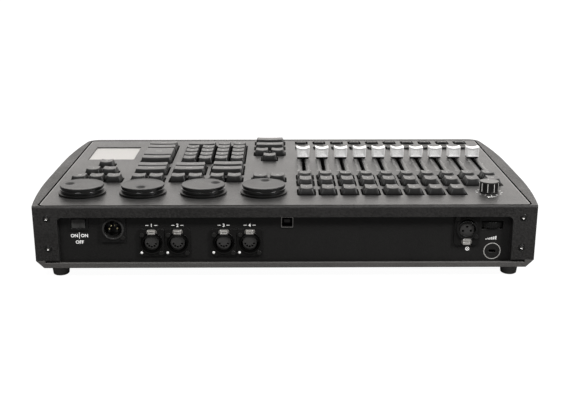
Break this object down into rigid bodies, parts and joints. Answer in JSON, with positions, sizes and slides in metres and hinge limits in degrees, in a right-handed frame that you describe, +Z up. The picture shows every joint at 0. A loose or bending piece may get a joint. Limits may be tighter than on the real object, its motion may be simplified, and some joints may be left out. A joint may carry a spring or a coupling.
{
  "type": "lighting control desk",
  "caption": "Sloped desktop lighting console with bowed sides, jog wheels, sliding faders, push keys and a recessed rear connector bay.",
  "frame": {"origin": "middle of the footprint, on the surface that the feet stand on", "axes": "+X to the user's right, +Y to the rear connector bay, +Z up"},
  "size_m": [0.53, 0.3178, 0.087],
  "materials": {
    "black_paint": "fine textured powder coat",
    "deck_paint": "fine textured powder coat",
    "steel": "zinc plated",
    "key_plastic": "fine matt moulded",
    "gloss_plastic": "polished moulded",
    "connector_plastic": "satin moulded",
    "cap_plastic": "satin, ribbed",
    "pad_plastic": "matt",
    "rubber": "moulded",
    "board": "solder mask",
    "light_plastic": "translucent moulded"
  },
  "bodies": {
    "desk": {"casing": "black_paint", "control_plate": "deck_paint", "base_tray": "black_paint", "rear_panel": "black_paint", "feet": "rubber", "bottom_screws": "steel", "casing_screws": "steel", "plate_nuts": "steel", "panel_screws": "steel", "pad_inlay": "pad_plastic", "power_inlet": "connector_plastic", "dmx_sockets": "connector_plastic", "usb_port": "steel", "lamp_socket": "connector_plastic", "status_lights": "light_plastic", "lock_plate": "steel", "switch_frame": "connector_plastic", "dimmer_body": "steel", "io_board": "board", "key_board": "board", "fader_board": "board", "main_board": "board", "board_pillars": "steel", "board_screws": "steel", "inner_cables": "light_plastic", "key_switches": "connector_plastic", "fader_frames": "steel", "encoder_bodies": "steel"},
    "wheel_1": {"encoder_wheel_1": "gloss_plastic"},
    "wheel_2": {"encoder_wheel_2": "gloss_plastic"},
    "wheel_3": {"encoder_wheel_3": "gloss_plastic"},
    "wheel_4": {"encoder_wheel_4": "gloss_plastic"},
    "knob": {"master_knob": "gloss_plastic"},
    "fader_1": {"fader_cap_1": "cap_plastic"},
    "fader_2": {"fader_cap_2": "cap_plastic"},
    "fader_3": {"fader_cap_3": "cap_plastic"},
    "fader_4": {"fader_cap_4": "cap_plastic"},
    "fader_5": {"fader_cap_5": "cap_plastic"},
    "fader_6": {"fader_cap_6": "cap_plastic"},
    "fader_7": {"fader_cap_7": "cap_plastic"},
    "fader_8": {"fader_cap_8": "cap_plastic"},
    "fader_9": {"fader_cap_9": "cap_plastic"},
    "fader_10": {"fader_cap_10": "cap_plastic"},
    "executor_keys_a": {"executor_keys_a": "key_plastic"},
    "executor_keys_b": {"executor_keys_b": "key_plastic"},
    "executor_keys_c": {"executor_keys_c": "key_plastic"},
    "flash_keys_rear": {"flash_keys_rear": "key_plastic"},
    "flash_keys_front": {"flash_keys_front": "key_plastic"},
    "pyramid_keys": {"pyramid_keys": "key_plastic"},
    "wide_keys": {"wide_keys": "key_plastic"},
    "number_keys": {"number_keys": "key_plastic"},
    "menu_keys": {"menu_keys": "key_plastic"},
    "centre_keys": {"centre_keys": "key_plastic"},
    "dmx_tab_1": {"dmx_latch_1": "steel"},
    "dmx_tab_2": {"dmx_latch_2": "steel"},
    "dmx_tab_3": {"dmx_latch_3": "steel"},
    "dmx_tab_4": {"dmx_latch_4": "steel"},
    "lamp_tab": {"lamp_latch": "steel"},
    "power_rocker": {"rocker": "gloss_plastic"},
    "lamp_dimmer": {"dimmer_wheel": "connector_plastic"}
  },
  "joints": [
    {"name": "wheel_1_turn", "type": "hinge", "parent": "desk", "child": "wheel_1", "pos_m": [0.0225, 0.10294, 0.07385], "axis": [0, -0.0698, 0.9976], "continuous": true},
    {"name": "wheel_2_turn", "type": "hinge", "parent": "desk", "child": "wheel_2", "pos_m": [0.0867, 0.10294, 0.07385], "axis": [0, -0.0698, 0.9976], "continuous": true},
    {"name": "wheel_3_turn", "type": "hinge", "parent": "desk", "child": "wheel_3", "pos_m": [0.1509, 0.10294, 0.07385], "axis": [0, -0.0698, 0.9976], "continuous": true},
    {"name": "wheel_4_turn", "type": "hinge", "parent": "desk", "child": "wheel_4", "pos_m": [0.2151, 0.10294, 0.07385], "axis": [0, -0.0698, 0.9976], "continuous": true},
    {"name": "master_knob_turn", "type": "hinge", "parent": "desk", "child": "knob", "pos_m": [-0.21721, 0.10294, 0.07385], "axis": [0, -0.0698, 0.9976], "continuous": true},
    {"name": "fader_1_slide", "type": "slide", "parent": "desk", "child": "fader_1", "axis": [0, 0.9976, 0.0698], "range_m": [0, 0.06]},
    {"name": "fader_2_slide", "type": "slide", "parent": "desk", "child": "fader_2", "axis": [0, 0.9976, 0.0698], "range_m": [0, 0.06]},
    {"name": "fader_3_slide", "type": "slide", "parent": "desk", "child": "fader_3", "axis": [0, 0.9976, 0.0698], "range_m": [0, 0.06]},
    {"name": "fader_4_slide", "type": "slide", "parent": "desk", "child": "fader_4", "axis": [0, 0.9976, 0.0698], "range_m": [0, 0.06]},
    {"name": "fader_5_slide", "type": "slide", "parent": "desk", "child": "fader_5", "axis": [0, 0.9976, 0.0698], "range_m": [0, 0.06]},
    {"name": "fader_6_slide", "type": "slide", "parent": "desk", "child": "fader_6", "axis": [0, 0.9976, 0.0698], "range_m": [0, 0.06]},
    {"name": "fader_7_slide", "type": "slide", "parent": "desk", "child": "fader_7", "axis": [0, 0.9976, 0.0698], "range_m": [0, 0.06]},
    {"name": "fader_8_slide", "type": "slide", "parent": "desk", "child": "fader_8", "axis": [0, 0.9976, 0.0698], "range_m": [0, 0.06]},
    {"name": "fader_9_slide", "type": "slide", "parent": "desk", "child": "fader_9", "axis": [0, 0.9976, 0.0698], "range_m": [0, 0.06]},
    {"name": "fader_10_slide", "type": "slide", "parent": "desk", "child": "fader_10", "axis": [0, 0.9976, 0.0698], "range_m": [0, 0.06]},
    {"name": "executor_keys_a_press", "type": "slide", "parent": "desk", "child": "executor_keys_a", "axis": [0, 0.0698, -0.9976], "range_m": [0, 0.0025], "stiffness_N_per_m": 400, "springref_m": -0.0005},
    {"name": "executor_keys_b_press", "type": "slide", "parent": "desk", "child": "executor_keys_b", "axis": [0, 0.0698, -0.9976], "range_m": [0, 0.0025], "stiffness_N_per_m": 400, "springref_m": -0.0005},
    {"name": "executor_keys_c_press", "type": "slide", "parent": "desk", "child": "executor_keys_c", "axis": [0, 0.0698, -0.9976], "range_m": [0, 0.0025], "stiffness_N_per_m": 400, "springref_m": -0.0005},
    {"name": "flash_keys_rear_press", "type": "slide", "parent": "desk", "child": "flash_keys_rear", "axis": [0, 0.0698, -0.9976], "range_m": [0, 0.0025], "stiffness_N_per_m": 400, "springref_m": -0.0005},
    {"name": "flash_keys_front_press", "type": "slide", "parent": "desk", "child": "flash_keys_front", "axis": [0, 0.0698, -0.9976], "range_m": [0, 0.0025], "stiffness_N_per_m": 400, "springref_m": -0.0005},
    {"name": "pyramid_keys_press", "type": "slide", "parent": "desk", "child": "pyramid_keys", "axis": [0, 0.0698, -0.9976], "range_m": [0, 0.0025], "stiffness_N_per_m": 400, "springref_m": -0.0005},
    {"name": "wide_keys_press", "type": "slide", "parent": "desk", "child": "wide_keys", "axis": [0, 0.0698, -0.9976], "range_m": [0, 0.0025], "stiffness_N_per_m": 400, "springref_m": -0.0005},
    {"name": "number_keys_press", "type": "slide", "parent": "desk", "child": "number_keys", "axis": [0, 0.0698, -0.9976], "range_m": [0, 0.0025], "stiffness_N_per_m": 400, "springref_m": -0.0005},
    {"name": "menu_keys_press", "type": "slide", "parent": "desk", "child": "menu_keys", "axis": [0, 0.0698, -0.9976], "range_m": [0, 0.0025], "stiffness_N_per_m": 400, "springref_m": -0.0005},
    {"name": "centre_keys_press", "type": "slide", "parent": "desk", "child": "centre_keys", "axis": [0, 0.0698, -0.9976], "range_m": [0, 0.0025], "stiffness_N_per_m": 400, "springref_m": -0.0005},
    {"name": "dmx_tab_1_press", "type": "slide", "parent": "desk", "child": "dmx_tab_1", "axis": [0, -0.9976, -0.0698], "range_m": [0, 0.0015], "stiffness_N_per_m": 300, "springref_m": -0.0003},
    {"name": "dmx_tab_2_press", "type": "slide", "parent": "desk", "child": "dmx_tab_2", "axis": [0, -0.9976, -0.0698], "range_m": [0, 0.0015], "stiffness_N_per_m": 300, "springref_m": -0.0003},
    {"name": "dmx_tab_3_press", "type": "slide", "parent": "desk", "child": "dmx_tab_3", "axis": [0, -0.9976, -0.0698], "range_m": [0, 0.0015], "stiffness_N_per_m": 300, "springref_m": -0.0003},
    {"name": "dmx_tab_4_press", "type": "slide", "parent": "desk", "child": "dmx_tab_4", "axis": [0, -0.9976, -0.0698], "range_m": [0, 0.0015], "stiffness_N_per_m": 300, "springref_m": -0.0003},
    {"name": "lamp_tab_press", "type": "slide", "parent": "desk", "child": "lamp_tab", "axis": [0, -0.9976, -0.0698], "range_m": [0, 0.0015], "stiffness_N_per_m": 300, "springref_m": -0.0003},
    {"name": "power_rocker_tilt", "type": "hinge", "parent": "desk", "child": "power_rocker", "pos_m": [0.2118, 0.14673, 0.05686], "axis": [0, -0.0698, 0.9976], "range_deg": [-10, 10]},
    {"name": "lamp_dimmer_turn", "type": "hinge", "parent": "desk", "child": "lamp_dimmer", "pos_m": [-0.2131, 0.13587, 0.05309], "axis": [0, -0.0698, 0.9976], "range_deg": [0, 270]}
  ]
}
